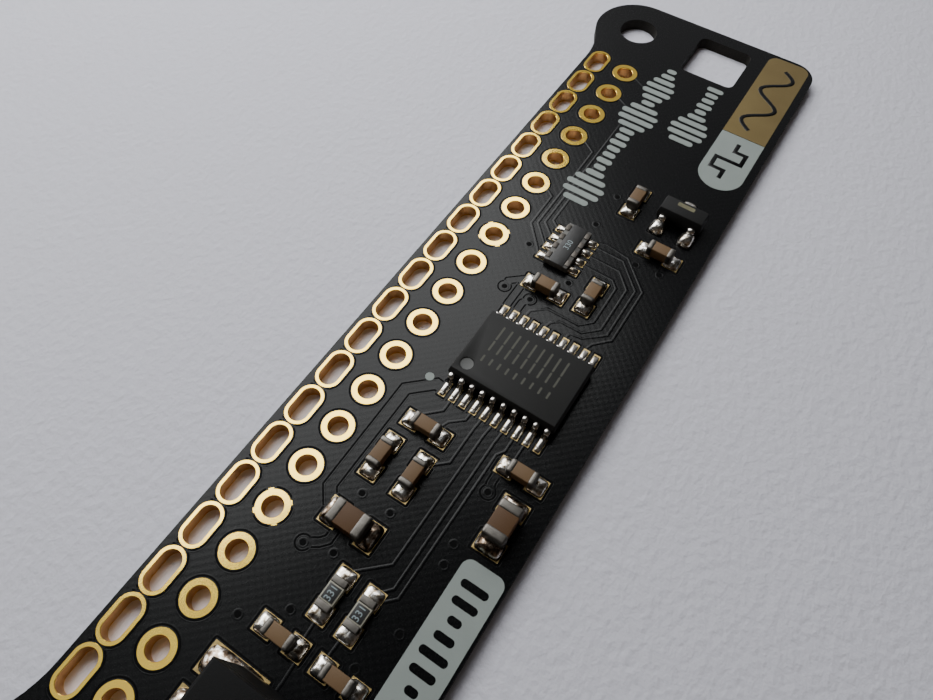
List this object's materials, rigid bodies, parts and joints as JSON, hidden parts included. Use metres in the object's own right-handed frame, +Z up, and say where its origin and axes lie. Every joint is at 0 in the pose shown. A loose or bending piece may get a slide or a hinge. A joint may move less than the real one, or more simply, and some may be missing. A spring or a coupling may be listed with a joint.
{
  "type": "audio dac board",
  "caption": "Slim add-on circuit board with plated header holes along one edge, a DAC chip with its small chip parts, and a line-out jack at one end.",
  "frame": {"origin": "midway between the two mounting holes, on the underside of the board", "axes": "+X along the header away from the jack, +Y towards the header edge, +Z up out of the parts side"},
  "size_m": [0.0664, 0.0161, 0.0058],
  "materials": {
    "solder_mask_board": "satin black solder mask over glass-epoxy laminate",
    "gold_plating": "thin gold over nickel and copper",
    "solder": "bright reflowed solder",
    "tinned_lead": "matt tin plating",
    "tinned_end_cap": "matt tin plating over nickel",
    "chip_moulding": "fine-grained black epoxy moulding",
    "capacitor_ceramic": "fired tan-brown ceramic",
    "alumina": "white alumina",
    "resistor_overcoat": "black glassy overcoat",
    "jack_plastic": "moulded black plastic",
    "jack_contact_metal": "tinned bronze strip"
  },
  "bodies": {
    "root": {"analogue_supply_capacitor_body": "capacitor_ceramic", "analogue_supply_capacitor_end_caps": "tinned_end_cap", "board": "solder_mask_board", "bulk_supply_capacitor_body": "capacitor_ceramic", "bulk_supply_capacitor_end_caps": "tinned_end_cap", "charge_pump_capacitor_body": "capacitor_ceramic", "charge_pump_capacitor_end_caps": "tinned_end_cap", "component_pads": "gold_plating", "core_supply_capacitor_body": "capacitor_ceramic", "core_supply_capacitor_end_caps": "tinned_end_cap", "dac_chip_body": "chip_moulding", "dac_chip_leads": "tinned_lead", "digital_supply_capacitor_body": "capacitor_ceramic", "digital_supply_capacitor_end_caps": "tinned_end_cap", "end_cap_solder": "solder", "flying_capacitor_body": "capacitor_ceramic", "flying_capacitor_end_caps": "tinned_end_cap", "gold_label_plate": "gold_plating", "jack_anchor": "jack_contact_metal", "jack_housing": "jack_plastic", "jack_ring_contact": "jack_contact_metal", "jack_sleeve_contact": "jack_contact_metal", "jack_solder": "solder", "jack_tip_contact": "jack_contact_metal", "lead_solder": "solder", "left_filter_capacitor_body": "capacitor_ceramic", "left_filter_capacitor_end_caps": "tinned_end_cap", "left_output_resistor_end_caps": "tinned_end_cap", "left_output_resistor_overcoat": "resistor_overcoat", "left_output_resistor_plate": "alumina", "negative_rail_capacitor_body": "capacitor_ceramic", "negative_rail_capacitor_end_caps": "tinned_end_cap", "pump_supply_capacitor_body": "capacitor_ceramic", "pump_supply_capacitor_end_caps": "tinned_end_cap", "regulator_body": "chip_moulding", "regulator_input_capacitor_body": "capacitor_ceramic", "regulator_input_capacitor_end_caps": "tinned_end_cap", "regulator_leads": "tinned_lead", "regulator_output_capacitor_body": "capacitor_ceramic", "regulator_output_capacitor_end_caps": "tinned_end_cap", "resistor_array_overcoat": "resistor_overcoat", "resistor_array_plate": "alumina", "resistor_array_terminals": "tinned_end_cap", "right_filter_capacitor_body": "capacitor_ceramic", "right_filter_capacitor_end_caps": "tinned_end_cap", "right_output_resistor_end_caps": "tinned_end_cap", "right_output_resistor_overcoat": "resistor_overcoat", "right_output_resistor_plate": "alumina"}
  },
  "joints": []
}
